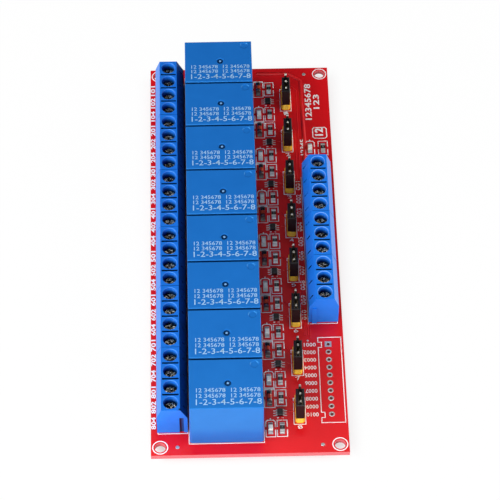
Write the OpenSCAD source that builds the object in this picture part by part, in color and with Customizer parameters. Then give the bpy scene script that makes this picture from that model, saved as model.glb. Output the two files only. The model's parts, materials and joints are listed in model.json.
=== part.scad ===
// Eight-channel relay board.
// Origin: centre of the fixing-hole pattern on the underside of the board.
// +X runs from the output terminals to the input terminals, +Y from channel 8 to channel 1, +Z up.

/* [Board] */
// Thickness of the laminate
board_t = 1.6; // [0.8:0.1:3.2]
// Diameter of the four fixing holes
fixing_d = 3; // [2:0.1:3.4]
// Distance from a fixing hole's centre to the two board edges beside it
fixing_inset = 2.5; // [2.2:0.1:4]
// Bare board outside the output terminals
output_margin = 1.7; // [0.5:0.1:5]
// How far the output row stands further back than the relay row
output_shift = 0.5; // [0:0.1:1]
// Bare board outside the input terminals
input_margin = 1.15; // [0.5:0.05:5]
// Bare board in front of the relay row
front_margin = 3.6; // [2:0.1:10]
// Bare board behind the relay row
back_margin = 3.5; // [2:0.1:10]
// Extra width of a plated hole round its pin
hole_clearance = 0.3; // [0.1:0.05:0.6]

/* [Relays] */
// Length of a relay across the board
relay_w = 20; // [16:0.1:24]
// Depth of a relay along the board
relay_d = 15.95; // [14:0.05:20]
// Height of a relay can above its feet
relay_h = 16.5; // [10:0.1:22]
// Gap between two relays at their bases
relay_gap = 0.2; // [0.2:0.05:3]
// Gap between the output terminals and the relays
relay_clearance = 0.4; // [0.3:0.05:5]
// How far each side of a relay leans in from base to top
relay_draft = 0.2; // [0.05:0.05:0.6]
// Radius of a relay's top edges
relay_edge_r = 0.25; // [0.2:0.05:1]
// Radius of a relay's upright corners
relay_corner_r = 0.8; // [0.3:0.05:1]
// Height of the moulded feet under a relay
relay_foot_h = 0.2; // [0.1:0.05:0.6]
// Diameter of a relay's feet
relay_foot_d = 1.4; // [0.8:0.1:2]
// Diameter of a relay pin
relay_pin_d = 1; // [0.6:0.1:1.4]
// Distance from the contact pins to the common pin, along a relay
relay_pin_l = 14.2; // [12:0.1:15]
// Distance from the coil pins to the common pin, along a relay
relay_coil_l = 2; // [1.5:0.1:4]
// Distance between the two pins of a pair, across a relay
relay_pin_w = 12; // [8:0.1:12.4]

/* [Terminals] */
// Spacing of the ways
way_pitch = 5.08; // [5:0.01:6]
// Depth of a terminal housing from wire face to inner face
block_d = 8.25; // [7.9:0.05:10]
// Height of a terminal housing
block_h = 10.9; // [10.5:0.1:13]
// Gap between two housings in a row
joint_gap = 0.18; // [0.1:0.02:0.4]
// Width of the bevel over the wire face
wire_bevel_w = 1.3; // [0.5:0.1:1.6]
// Height of the bevel over the wire face
wire_bevel_h = 3.5; // [1:0.1:4]
// Width of the bevel over the inner face
inner_bevel_w = 1.9; // [0.5:0.1:2]
// Height of the bevel over the inner face
inner_bevel_h = 3.9; // [1:0.1:4.2]
// Distance from the wire face to the screws
screw_inset = 3.85; // [3.4:0.05:4.2]
// Diameter of a screw well
well_d = 3.85; // [3.5:0.05:4]
// Depth of a screw well
well_depth = 3.7; // [2.5:0.1:4]
// Width of the bevelled rim of a screw well
well_rim = 0.12; // [0.05:0.01:0.3]
// Diameter of a screw head
head_d = 3.4; // [3.1:0.05:3.45]
// Thickness of a screw head
head_t = 1.4; // [0.8:0.1:1.8]
// Diameter of a screw's thread
screw_d = 2.9; // [2.2:0.1:2.9]
// Running clearance round a thread, on the radius
thread_clearance = 0.03; // [0.01:0.01:0.08]
// Width of the isolating slots between ways
slot_w = 0.6; // [0.3:0.05:0.8]
// Length of the isolating slots
slot_l = 4.4; // [3:0.1:4.6]
// Depth of the isolating slots
slot_depth = 3.4; // [1:0.1:3.8]
// Width of the small test slit behind each screw
slit_w = 0.5; // [0.3:0.05:0.8]
// Height of the small test slit
slit_h = 1.7; // [0.8:0.1:2]
// Height of the test slit above the ledge
slit_rise = 0.5; // [0.3:0.1:0.8]
// Width of a wire entry
entry_w = 2.8; // [2:0.1:3.2]
// Height of a wire entry
entry_h = 3.2; // [2:0.1:3.4]
// How far a wire entry widens at the wire face
entry_flare = 0.45; // [0.2:0.05:0.5]

/* [Terminal clamps] */
// Width of a clamp across its way
clamp_w = 3.7; // [3.5:0.05:3.8]
// Length of a clamp along its wire
clamp_l = 4.3; // [4:0.05:4.4]
// Thickness of a clamp's sides and floor
clamp_wall = 0.7; // [0.4:0.05:0.8]
// Thickness of a clamp's tapped top
clamp_top = 1.1; // [0.8:0.1:1.4]
// Gap between the board and a clamp
clamp_lift = 0.5; // [0.2:0.1:0.8]
// Thickness of the ledge that a screw head rests on
ledge_t = 0.6; // [0.4:0.05:0.9]
// Gap between a clamp and the ledge over it
clamp_rise = 0.2; // [0.1:0.05:0.4]
// Gap between a clamp's tapped top and the leaf under it
leaf_gap = 0.3; // [0.1:0.05:0.5]
// Clearance on the diameter of a screw in its ledge
ledge_clearance = 0.2; // [0.1:0.05:0.3]
// Clearance round a clamp in its pocket
clamp_clearance = 0.08; // [0.05:0.01:0.15]
// Thickness of a pressure leaf
leaf_t = 0.25; // [0.15:0.05:0.35]
// Width of a pressure leaf
leaf_w = 2.2; // [1.5:0.1:2.4]
// Diameter of a clamp's solder pin
clamp_pin_d = 1; // [0.6:0.1:1.4]

/* [Housing joints] */
// Width of a dovetail tongue at its tip
tongue_w = 1.35; // [1:0.05:1.6]
// Width of a dovetail tongue at its root
tongue_root_w = 0.75; // [0.5:0.05:0.95]
// How far a tongue stands out of its housing
tongue_l = 0.4; // [0.4:0.05:0.7]
// Height of a tongue
tongue_h = 6.7; // [4:0.1:7]
// Distance from the inner face to the middle of a tongue
tongue_inset = 1.6; // [1.2:0.05:1.6]
// Extra height of a groove over its tongue
groove_rise = 0.4; // [0.2:0.1:0.6]
// Clearance round a tongue in the next housing's groove
tongue_clearance = 0.08; // [0.05:0.01:0.12]

/* [Control strip] */
// Width of a surface land
land_w = 1.3; // [1.25:0.05:1.7]
// Length of a surface land outside its part
land_l = 0.85; // [0.5:0.05:1.1]
// Thickness of a tinned land
land_t = 0.05; // [0.02:0.01:0.1]
// Gap between the relays and the first row of lands
diode_clearance = 1.2; // [0.5:0.1:5]
// Gap between the diode lands and the resistor lands
resistor_clearance = 1.85; // [1:0.05:4]
// Gap between the resistor lands and the jumper header
jumper_clearance = 2.95; // [1:0.05:6]
// Gap between the jumper header and the input terminals
input_clearance = 2.35; // [1:0.05:8]
// Gap between the lamp's lands and the transistor
lamp_gap = 1.95; // [0.5:0.05:3]
// Gap between the transistor and the diode's lands
diode_gap = 1.35; // [0.5:0.05:3]
// Least gap between the diode's lands and the next channel's lamp
channel_gap = 0.5; // [0.3:0.05:4]
// How much closer together the channels' small parts stand than their relays
strip_step = 0.4; // [0:0.05:0.6]
// How far the transistor stands left of the resistor column
transistor_shift = 0.45; // [0:0.05:0.6]
// Distance from the board's middle to the strip's middle, towards the back
strip_shift = 0.2; // [0:0.05:1]
// How far a jumper header overlaps the lamp's lands beside it
jumper_overlap = 0.3; // [0:0.05:1]

/* [Small parts] */
// Length of a chip resistor or lamp
chip_l = 2; // [1.6:0.1:2.4]
// Width of a chip resistor or lamp
chip_w = 1.25; // [0.8:0.05:1.25]
// Height of a chip resistor
chip_h = 0.55; // [0.4:0.05:0.8]
// Length of a chip's metal ends
chip_end = 0.4; // [0.2:0.05:0.6]
// Height of a chip lamp's base
lamp_base_h = 0.35; // [0.2:0.05:0.6]
// Height of a chip lamp's lens
lamp_lens_h = 0.5; // [0.2:0.05:0.8]
// Length of a glass diode
diode_l = 3.5; // [2.8:0.1:4]
// Diameter of a glass diode's end caps
diode_d = 1.5; // [1:0.1:1.6]
// Length of a diode's end caps
diode_end = 0.45; // [0.3:0.05:0.6]
// Length of a transistor's body along the board
transistor_l = 2; // [1.8:0.1:2.4]
// Width of a transistor's body
transistor_w = 1.5; // [1:0.05:1.6]
// Height of a transistor's body
transistor_h = 0.9; // [0.6:0.05:1.2]
// Spacing of a transistor's leads
lead_pitch = 0.75; // [0.5:0.05:0.8]
// Width of a transistor's lead
lead_w = 0.2; // [0.15:0.05:0.3]
// Length of a transistor's land
lead_land_l = 1.1; // [0.8:0.05:1.5]

/* [Jumpers] */
// Spacing of the header pins
pin_pitch = 2.54; // [2.54:0.01:3]
// Width of a square header pin
pin_w = 0.64; // [0.5:0.02:0.7]
// Height of a header's insulator
base_h = 2.6; // [1.5:0.1:3.5]
// Width of a header's insulator
base_w = 2.5; // [2.2:0.05:3]
// Height of the pins above the insulator
pin_rise = 6.45; // [5:0.05:8]
// Width of a jumper cap
cap_w = 2.3; // [2.2:0.05:3]
// Length of a jumper cap
cap_l = 5.6; // [4.8:0.1:6]
// Height of a jumper cap
cap_h = 6.3; // [5:0.1:7]
// Wall of a jumper cap
cap_wall = 0.4; // [0.3:0.05:0.6]
// Width of the slot in a cap's top
cap_slot_w = 0.95; // [0.8:0.05:1.2]
// Thickness of a cap's contact spring
spring_t = 0.15; // [0.1:0.01:0.2]
// Height of a cap's contact spring
spring_h = 4; // [2:0.1:5]

/* [Header footprint] */
// Number of plated holes in the bare header footprint
header_ways = 10; // [2:1:10]
// Diameter of the holes in the bare header footprint
header_hole_d = 1; // [0.8:0.05:1.3]
// Distance from the bare header footprint to the right edge of the board
header_inset = 4.3; // [3:0.1:5]
// Gap between the input row and the first hole of the bare header
header_gap = 7.5; // [4:0.1:8]
// Distance from the input row to the power lamp's middle
power_gap = 11.2; // [6:0.1:14]
// Gap between the power lamp's lands and its resistor's lands
power_clearance = 2.5; // [1:0.1:4]
// Distance from the power resistor to the right edge of the board
power_inset = 2.6; // [2:0.1:3]

/* [Solder side] */
// How far pins stand out under the board
pin_out = 1.6; // [1:0.1:2.5]
// Height of a solder joint under the board
joint_h = 1.1; // [0.5:0.05:1.5]
// Radius of a solder joint at the board
joint_r = 1; // [0.85:0.05:1.15]
// Radius of a solder joint at its tip
joint_tip_r = 0.62; // [0.5:0.01:0.8]

/* [Hidden] */
CHANNELS = 8;
OUTPUT_BLOCKS = 6;
OUTPUT_WAYS = 4;
INPUT_WAYS = [4, 3, 3];
eps = 0.01;
$fn = 48;

function total(list, count) = count == 0 ? 0 : list[count - 1] + total(list, count - 1);

// Rows along the board
output_row = OUTPUT_BLOCKS * OUTPUT_WAYS * way_pitch + (OUTPUT_BLOCKS - 1) * joint_gap;
input_row = total(INPUT_WAYS, 3) * way_pitch + 2 * joint_gap;
relay_pitch = relay_d + relay_gap;
relay_row = CHANNELS * relay_d + (CHANNELS - 1) * relay_gap;
board_l = max(relay_row + front_margin + back_margin, output_row + 4 * fixing_inset + fixing_d);
relay_row_y = (front_margin - back_margin) / 2;
output_row_y = relay_row_y + output_shift;

// Columns across the board, left edge first
land_span = chip_l + 2 * land_l;
diode_span = diode_l + 2 * land_l;
output_x0 = output_margin;
relay_x0 = output_x0 + block_d + relay_clearance;
diode_x0 = relay_x0 + relay_w + diode_clearance + land_w / 2;
resistor_x0 = diode_x0 + land_w + resistor_clearance;
jumper_x0 = resistor_x0 + land_w / 2 + jumper_clearance + base_w / 2;
input_x0 = jumper_x0 + base_w / 2 + input_clearance;
board_w = input_x0 + block_d + input_margin;
left_x = -board_w / 2;
relay_x = left_x + relay_x0 + relay_w / 2;
diode_x = left_x + diode_x0;
resistor_x = left_x + resistor_x0;
transistor_x = resistor_x - transistor_shift;
jumper_x = left_x + jumper_x0;
header_x = -left_x - header_inset;
header_y = -input_row / 2 - header_gap;
power_x = -left_x - power_inset;
power_y = input_row / 2 + power_gap;
power_lamp_x = power_x - land_w - power_clearance;

// One channel of the control strip, measured from its lamp
transistor_dy = land_span / 2 + lamp_gap + transistor_l / 2;
diode_dy = transistor_dy + transistor_l / 2 + diode_gap + diode_span / 2;
strip_l = land_span / 2 + diode_dy + diode_span / 2;
strip_pitch = max(relay_pitch - strip_step, strip_l + channel_gap);
// The jumper starts beside the back end of the lamp
jumper_dy = land_span / 2 - jumper_overlap;
strip_y = strip_shift + (land_span - strip_l) / 2;

// Heights above the board
ledge_z = block_h - well_depth;
pocket_h = ledge_z - ledge_t;
clamp_h = pocket_h - clamp_rise - clamp_lift;
clamp_top_z = clamp_lift + clamp_h;
leaf_z = clamp_top_z - clamp_top - leaf_gap - leaf_t;
entry_z = clamp_lift + clamp_wall;

// Places. Channel 1, housing 1 and way 1 are the furthest back.
function relay_y(i) = relay_row_y + relay_pitch * ((CHANNELS + 1) / 2 - i);
function lamp_y(i) = strip_y + strip_pitch * ((CHANNELS + 1) / 2 - i);
function jumper_y(i) = lamp_y(i) + jumper_dy;
function output_block_y(i) =
    output_row_y + output_row / 2 - i * OUTPUT_WAYS * way_pitch - (i - 1) * joint_gap;
function input_block_y(i) = input_row / 2 - total(INPUT_WAYS, i) * way_pitch - (i - 1) * joint_gap;
pin_offsets = [
    [relay_pin_l / 2, 0],
    [relay_pin_l / 2 - relay_coil_l, relay_pin_w / 2],
    [relay_pin_l / 2 - relay_coil_l, -relay_pin_w / 2],
    [-relay_pin_l / 2, relay_pin_w / 2],
    [-relay_pin_l / 2, -relay_pin_w / 2]
];

function way_place(k) = [screw_inset, (k + 0.5) * way_pitch, 0];

module place_output(i) {
    translate([left_x + output_margin, output_block_y(i), board_t])
        children();
}

// A housing on the right edge is turned round, so its wire face looks outwards
module place_input(i) {
    translate([-left_x - input_margin, input_block_y(i) + INPUT_WAYS[i - 1] * way_pitch, board_t])
        rotate([0, 0, 180])
            children();
}

module each_way(ways) {
    for (k = [0:ways - 1])
        translate(way_place(k))
            children();
}

module each_output_way() {
    for (i = [1:OUTPUT_BLOCKS]) place_output(i) each_way(OUTPUT_WAYS) children();
}

module each_input_way() {
    for (i = [1:3]) place_input(i) each_way(INPUT_WAYS[i - 1]) children();
}

module each_relay_pin() {
    for (i = [1:CHANNELS], p = pin_offsets)
        translate([relay_x + p[0], relay_y(i) + p[1], 0])
            children();
}

module each_jumper_pin() {
    for (i = [1:CHANNELS], k = [0:2])
        translate([jumper_x, jumper_y(i) + (k + 0.5) * pin_pitch, 0])
            children();
}

module each_resistor() {
    for (i = [1:CHANNELS]) {
        translate([resistor_x, lamp_y(i), board_t]) children();
        translate([resistor_x, lamp_y(i) + diode_dy, board_t]) children();
    }
    translate([power_x, power_y, board_t]) children();
}

module each_lamp() {
    for (i = [1:CHANNELS]) translate([diode_x, lamp_y(i), board_t]) children();
    translate([power_lamp_x, power_y, board_t]) children();
}

module each_diode() {
    for (i = [1:CHANNELS]) translate([diode_x, lamp_y(i) + diode_dy, board_t]) children();
}

module each_transistor() {
    for (i = [1:CHANNELS]) translate([transistor_x, lamp_y(i) + transistor_dy, board_t]) children();
}

// Extrudes a profile drawn in X and Z along Y, centred
module along_y(length) {
    rotate([90, 0, 0])
        linear_extrude(length, center = true)
            children();
}

// Extrudes a profile drawn in Y and Z along X, centred
module along_x(length) {
    rotate([90, 0, 90])
        linear_extrude(length, center = true)
            children();
}

module box(w, l, h) {
    translate([-w / 2, -l / 2, 0]) cube([w, l, h]);
}

// A block whose four top edges are bevelled
module bevelled_box(w, l, h, b) {
    intersection() {
        along_y(l + 2) polygon(bevel_profile(w, h, b));
        along_x(w + 2) polygon(bevel_profile(l, h, b));
    }
}

function bevel_profile(w, h, b) = [
    [-w / 2, 0], [w / 2, 0], [w / 2, h - b], [w / 2 - b, h], [b - w / 2, h], [-w / 2, h - b]
];

// ---- Board ----

module board_outline() {
    square([board_w, board_l], center = true);
}

module board() {
    color("crimson")
    difference() {
        linear_extrude(board_t) board_outline();
        translate([0, 0, -eps]) board_holes(board_t + 2 * eps);
    }
}

module board_holes(h) {
    for (x = [-1, 1], y = [-1, 1])
        translate([x * (board_w / 2 - fixing_inset), y * (board_l / 2 - fixing_inset), 0])
            cylinder(d = fixing_d, h = h);
    for (k = [0:header_ways - 1])
        translate([header_x, header_y - k * pin_pitch, 0])
            cylinder(d = header_hole_d, h = h);
    each_relay_pin() cylinder(d = relay_pin_d + hole_clearance, h = h);
    each_jumper_pin() cylinder(d = pin_w * sqrt(2) + hole_clearance / 2, h = h);
    translate([0, 0, -board_t]) {
        each_output_way() cylinder(d = clamp_pin_d + hole_clearance, h = h);
        each_input_way() cylinder(d = clamp_pin_d + hole_clearance, h = h);
    }
}

// ---- Relays ----

// Trapezoid with tangent arcs at its two upper corners
module drafted_profile(w, h, draft, r) {
    lean = atan(draft / h);
    cx = w / 2 - draft * (h - r) / h - r / cos(lean);
    tx = cx + r * cos(lean);
    tz = h - r + r * sin(lean);
    polygon([[-w / 2, 0], [w / 2, 0], [tx, tz], [cx, h - r], [cx, h], [-cx, h], [-cx, h - r], [-tx, tz]]);
    for (side = [-1, 1]) translate([side * cx, h - r]) circle(r);
}

module rounded_rectangle(w, l, r) {
    square([w - 2 * r, l], center = true);
    square([w, l - 2 * r], center = true);
    for (x = [-1, 1], y = [-1, 1])
        translate([x * (w / 2 - r), y * (l / 2 - r)]) circle(r);
}

module relay_can() {
    intersection() {
        along_y(relay_d + 2) drafted_profile(relay_w, relay_h, relay_draft, relay_edge_r);
        along_x(relay_w + 2) drafted_profile(relay_d, relay_h, relay_draft, relay_edge_r);
        linear_extrude(relay_h) rounded_rectangle(relay_w, relay_d, relay_corner_r);
    }
}

// Vent: a shallow dish round a ring-shaped recess, with a pip left standing in it
module relay_vent() {
    dish_d = 2.5;
    dish_depth = 0.15;
    vent_d = 1.8;
    vent_depth = 0.6;
    pip_d = 0.9;
    place = [0.5, 0.2];
    translate([place[0], place[1], relay_h]) {
        translate([0, 0, -dish_depth]) cylinder(d1 = vent_d, d2 = dish_d, h = dish_depth + eps);
        translate([0, 0, -vent_depth])
            difference() {
                cylinder(d = vent_d, h = vent_depth);
                translate([0, 0, -eps]) cylinder(d1 = pip_d, d2 = pip_d * 0.7, h = vent_depth - dish_depth + eps);
            }
    }
}

// Shallow round mark left by the mould's pin
module relay_mould_mark() {
    mark_d = 2;
    mark_slope = 0.2;
    mark_depth = 0.15;
    inset = [2.35, 1.95];
    translate([relay_w / 2 - inset[0], relay_d / 2 - inset[1], relay_h - mark_depth])
        cylinder(d1 = mark_d, d2 = mark_d + 2 * mark_slope, h = mark_depth + eps);
}

module relay(i) {
    foot_x = relay_w / 2 - relay_foot_d;
    foot_y = relay_d / 2 - relay_foot_d;
    color("royalblue")
    translate([relay_x, relay_y(i), board_t]) {
        translate([0, 0, relay_foot_h])
            difference() {
                relay_can();
                relay_vent();
                relay_mould_mark();
            }
        for (x = [-1, 1], y = [-1, 1])
            translate([x * foot_x, y * foot_y, 0]) cylinder(d = relay_foot_d, h = relay_foot_h + eps);
    }
}

module relay_pins() {
    color("silver")
    translate([0, 0, -pin_out])
        each_relay_pin() cylinder(d = relay_pin_d, h = pin_out + board_t + relay_foot_h);
}

// ---- Terminal housings ----

function housing_profile() = [
    [0, 0], [block_d, 0], [block_d, block_h - inner_bevel_h], [block_d - inner_bevel_w, block_h],
    [wire_bevel_w, block_h], [0, block_h - wire_bevel_h]
];

function dovetail(grow) = [
    [-tongue_root_w / 2 - grow, -eps], [tongue_root_w / 2 + grow, -eps],
    [tongue_w / 2 + grow, tongue_l + grow], [-tongue_w / 2 - grow, tongue_l + grow]
];

// Everything cut out of one way, measured from the screw's axis on the board
module way_cut() {
    pocket_w = clamp_w + 2 * clamp_clearance;
    pocket_l = clamp_l + 2 * clamp_clearance;
    leg_w = leaf_w + 2 * clamp_clearance;
    leg_end = clamp_l / 2 + leaf_t + clamp_clearance;
    wire_wall = screw_inset - pocket_l / 2;
    translate([0, 0, ledge_z]) cylinder(d = well_d, h = well_depth + eps);
    translate([0, 0, block_h - well_rim])
        cylinder(d1 = well_d, d2 = well_d + 2 * well_rim + 2 * eps, h = well_rim + eps);
    cylinder(d = screw_d + ledge_clearance, h = ledge_z + eps);
    translate([0, 0, -eps]) box(pocket_l, pocket_w, pocket_h + eps);
    translate([0, -leg_w / 2, -eps]) cube([leg_end, leg_w, leaf_z + leaf_t + clamp_clearance + eps]);
    translate([-screw_inset, 0, entry_z]) wire_entry(wire_wall);
    translate([0, -slit_w / 2, ledge_z + slit_rise]) cube([block_d, slit_w, slit_h]);
}

// Rectangular opening that flares towards the wire face
module wire_entry(wall) {
    translate([-eps, -entry_w / 2, 0]) cube([wall + 1, entry_w, entry_h]);
    intersection() {
        along_y(entry_w + 2 * entry_flare + 2)
            polygon([
                [-eps, -entry_flare], [entry_flare, 0], [entry_flare, entry_h], [-eps, entry_h + entry_flare]
            ]);
        linear_extrude(3 * entry_h, center = true)
            polygon([
                [-eps, -entry_w / 2 - entry_flare], [entry_flare, -entry_w / 2],
                [entry_flare, entry_w / 2], [-eps, entry_w / 2 + entry_flare]
            ]);
    }
}

module housing(ways) {
    length = ways * way_pitch;
    tongue_x = block_d - tongue_inset;
    difference() {
        union() {
            translate([0, length / 2, 0]) along_y(length) polygon(housing_profile());
            translate([tongue_x, length, 0]) linear_extrude(tongue_h) polygon(dovetail(0));
        }
        translate([tongue_x, -joint_gap, -eps])
            linear_extrude(tongue_h + groove_rise) polygon(dovetail(tongue_clearance));
        each_way(ways) way_cut();
        for (k = [1:ways - 1])
            translate([screw_inset, k * way_pitch, block_h - slot_depth])
                box(slot_l, slot_w, slot_depth + eps);
    }
}

module output_terminal(i) {
    color("dodgerblue")
    place_output(i) housing(OUTPUT_WAYS);
}

module input_terminal(i) {
    color("dodgerblue")
    place_input(i) housing(INPUT_WAYS[i - 1]);
}

// ---- Terminal metalwork, each measured from the screw's axis on the board ----

module screw() {
    drive_w = 0.6;
    drive_depth = 0.7;
    cross_l = head_d * 0.6;
    edge = 0.2;
    tip_z = leaf_z + leaf_t;
    difference() {
        union() {
            translate([0, 0, ledge_z]) cylinder(d = head_d, h = head_t - edge);
            translate([0, 0, ledge_z + head_t - edge]) cylinder(d1 = head_d, d2 = head_d - 2 * edge, h = edge);
            translate([0, 0, tip_z]) cylinder(d = screw_d, h = ledge_z - tip_z + eps);
        }
        translate([0, 0, ledge_z + head_t - drive_depth]) {
            box(head_d + 1, drive_w, drive_depth + eps);
            box(drive_w, cross_l, drive_depth + eps);
        }
    }
}

module clamp() {
    color("goldenrod")
    difference() {
        translate([0, 0, clamp_lift]) box(clamp_l, clamp_w, clamp_h);
        translate([0, 0, entry_z])
            box(clamp_l + 2, clamp_w - 2 * clamp_wall, clamp_h - clamp_wall - clamp_top);
        translate([0, 0, entry_z]) cylinder(r = screw_d / 2 + thread_clearance, h = clamp_h);
    }
}

// The leaf lies under the screw and its leg stands behind the clamp
module leaf() {
    back = clamp_l / 2;
    rise = leaf_z + leaf_t;
    along_y(leaf_w)
        polygon([
            [-clamp_l / 2, leaf_z], [back, leaf_z], [back, 0],
            [back + leaf_t, 0], [back + leaf_t, rise], [-clamp_l / 2, rise]
        ]);
}

// Each screw has stopped at its own angle
module turned_screws(ways, first) {
    step = 37;
    for (k = [0:ways - 1])
        translate(way_place(k)) rotate([0, 0, step * (first + k)]) screw();
}

module output_screws() {
    color("silver")
    for (i = [1:OUTPUT_BLOCKS]) place_output(i) turned_screws(OUTPUT_WAYS, 4 * i);
}

module input_screws() {
    color("silver")
    for (i = [1:3]) place_input(i) turned_screws(INPUT_WAYS[i - 1], 5 * i);
}

// Solder pin, riveted to the floor of its clamp
module clamp_pin() {
    translate([0, 0, -board_t - pin_out]) cylinder(d = clamp_pin_d, h = board_t + pin_out + clamp_lift);
}

module output_clamps() {
    each_output_way() clamp();
}

module input_clamps() {
    each_input_way() clamp();
}

module output_pins() {
    color("silver") each_output_way() clamp_pin();
}

module input_pins() {
    color("silver") each_input_way() clamp_pin();
}

module output_leaves() {
    color("gold") each_output_way() leaf();
}

module input_leaves() {
    color("gold") each_input_way() leaf();
}

// ---- Jumpers ----

// A square pin with both ends tapered on all four sides
module square_pin(low, high) {
    taper = 0.15;
    half = pin_w / 2;
    ends = [
        [-half + taper, low], [half - taper, low], [half, low + taper], [half, high - 2 * taper],
        [half - taper, high], [-half + taper, high], [-half, high - 2 * taper], [-half, low + taper]
    ];
    intersection() {
        along_y(pin_w + 1) polygon(ends);
        along_x(pin_w + 1) polygon(ends);
    }
}

module jumper_pins() {
    color("silver")
    each_jumper_pin() square_pin(-pin_out, board_t + base_h + pin_rise);
}

// Insulator: one eight-sided cell per pin
module jumper_base(i) {
    notch = 0.45;
    cell = [
        [-base_w / 2 + notch, -pin_pitch / 2], [base_w / 2 - notch, -pin_pitch / 2],
        [base_w / 2, -pin_pitch / 2 + notch], [base_w / 2, pin_pitch / 2 - notch],
        [base_w / 2 - notch, pin_pitch / 2], [-base_w / 2 + notch, pin_pitch / 2],
        [-base_w / 2, pin_pitch / 2 - notch], [-base_w / 2, -pin_pitch / 2 + notch]
    ];
    color("gold")
    translate([jumper_x, jumper_y(i), board_t])
        linear_extrude(base_h)
            for (k = [0:2])
                translate([0, (k + 0.5) * pin_pitch])
                    difference() {
                        polygon(cell);
                        square(pin_w, center = true);
                    }
}

// The cap stands on the insulator over the front two pins
module jumper_cap(i) {
    inner_w = cap_w - 2 * cap_wall;
    inner_l = cap_l - 2 * cap_wall;
    roof = 1;
    color("dimgray")
    translate([jumper_x, jumper_y(i) + pin_pitch, board_t + base_h])
        difference() {
            bevelled_box(cap_w, cap_l, cap_h, 0.2);
            translate([0, 0, -eps]) box(inner_w, inner_l, cap_h - roof);
            box(cap_slot_w, inner_l, cap_h + eps);
        }
}

// A strip bent round both pins, open at one end
module jumper_springs() {
    half_l = cap_l / 2 - cap_wall;
    end = half_l - 0.1;
    inside = pin_w / 2;
    color("khaki")
    for (i = [1:CHANNELS])
        translate([jumper_x, jumper_y(i) + pin_pitch, board_t + base_h])
            linear_extrude(spring_h)
                difference() {
                    translate([-inside - spring_t, -half_l]) square([2 * (inside + spring_t), half_l + end]);
                    translate([-inside, -half_l - eps]) square([2 * inside, half_l + end - spring_t]);
                }
}

// ---- Surface parts ----

module end_caps(length, width, height, end, wrap) {
    for (side = [-1, 1])
        translate([0, side * (length - end) / 2, 0])
            difference() {
                box(width, end, height);
                translate([0, -side * wrap, wrap]) box(width + 1, end, height - 2 * wrap);
            }
}

module resistor_bodies() {
    wrap = 0.05;
    color("dimgray")
    each_resistor() translate([0, 0, land_t]) {
        translate([0, 0, wrap]) box(chip_w, chip_l - 2 * wrap, chip_h - 2 * wrap);
        translate([0, 0, chip_h - wrap - eps]) box(chip_w, chip_l - 2 * chip_end, wrap + eps);
    }
}

module resistor_caps() {
    color("silver")
    each_resistor() translate([0, 0, land_t]) end_caps(chip_l, chip_w, chip_h, chip_end, 0.05);
}

module led_bases() {
    color("white")
    each_lamp() translate([0, 0, land_t]) box(chip_w, chip_l, lamp_base_h);
}

module led_lenses() {
    color("ivory")
    each_lamp() translate([0, 0, land_t + lamp_base_h])
        bevelled_box(chip_w - 0.05, chip_l - chip_end, lamp_lens_h, 0.15);
}

module diode_bodies() {
    glass_d = diode_d - 0.15;
    glass_l = diode_l - 2 * diode_end;
    color("orangered")
    each_diode() translate([0, -glass_l / 2, land_t + diode_d / 2])
        rotate([-90, 0, 0]) cylinder(d = glass_d, h = glass_l);
}

module diode_caps() {
    color("silver")
    each_diode() for (side = [-1, 1])
        translate([0, side * (diode_l - diode_end) / 2 - diode_end / 2, land_t + diode_d / 2])
            rotate([-90, 0, 0]) cylinder(d = diode_d, h = diode_end);
}

module transistors() {
    lift = 0.08;
    color("black")
    each_transistor() translate([0, 0, land_t + lift])
        bevelled_box(transistor_w, transistor_l, transistor_h - lift, 0.12);
}

// Gull-wing lead: out of the body, down and along its land
module transistor_leads() {
    t = 0.12;
    knee = 0.28;
    toe = 0.3;
    root = transistor_w / 2;
    high = transistor_h / 2;
    color("silver")
    each_transistor() for (turn = [0, 180], k = [-1:1])
        rotate([0, 0, turn]) translate([0, k * lead_pitch, land_t])
            along_y(lead_w)
                polygon([
                    [root, high], [root + knee - t, high], [root + knee, 0], [root + knee + toe, 0],
                    [root + knee + toe, t], [root + knee + t, t], [root + knee, high + t], [root, high + t]
                ]);
}

// A tinned land and the concave fillet that climbs the end of its part
module land(climb) {
    under = 0.35;
    fillet = land_l - 0.1;
    translate([-land_w / 2, -under, 0]) cube([land_w, land_l + under, land_t]);
    along_x(chip_w)
        difference() {
            translate([0, land_t / 2]) square([fillet, climb + land_t / 2]);
            translate([fillet, land_t + climb]) fillet_hollow(fillet, climb);
        }
}

// The round hollow of a solder fillet
module fillet_hollow(across, up) {
    r = min(across, up);
    circle(r);
    translate([-across, 0]) square([2 * across, up]);
    translate([0, -up]) square([across, 2 * up]);
    polygon([[-across, 0], [0, -up], [0, 0]]);
}

module lands(length, climb) {
    for (turn = [0, 180])
        rotate([0, 0, turn]) translate([0, length / 2, 0]) land(climb);
}

module surface_solder() {
    color("gainsboro") {
        each_resistor() lands(chip_l, chip_h * 0.7);
        each_lamp() lands(chip_l, lamp_base_h);
        each_diode() lands(diode_l, diode_d * 0.45);
        each_transistor() for (side = [-1, 1], k = [-1:1])
            translate([side * (transistor_w / 2 + lead_land_l / 2), k * lead_pitch, 0])
                box(lead_land_l, lead_w + 0.05, land_t);
    }
}

// ---- Solder side ----

module joint_cone() {
    translate([0, 0, -joint_h]) cylinder(r1 = joint_tip_r, r2 = joint_r, h = joint_h);
}

module solder_joints() {
    color("gainsboro") {
        each_relay_pin() round_joint(relay_pin_d);
        translate([0, 0, -board_t]) {
            each_output_way() round_joint(clamp_pin_d);
            each_input_way() round_joint(clamp_pin_d);
        }
        each_jumper_pin() difference() {
            joint_cone();
            translate([0, 0, -joint_h - 1]) box(pin_w, pin_w, joint_h + 2);
        }
    }
}

module round_joint(pin_d) {
    difference() {
        joint_cone();
        translate([0, 0, -joint_h - 1]) cylinder(d = pin_d, h = joint_h + 2);
    }
}

// ---- Nodes ----

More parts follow.
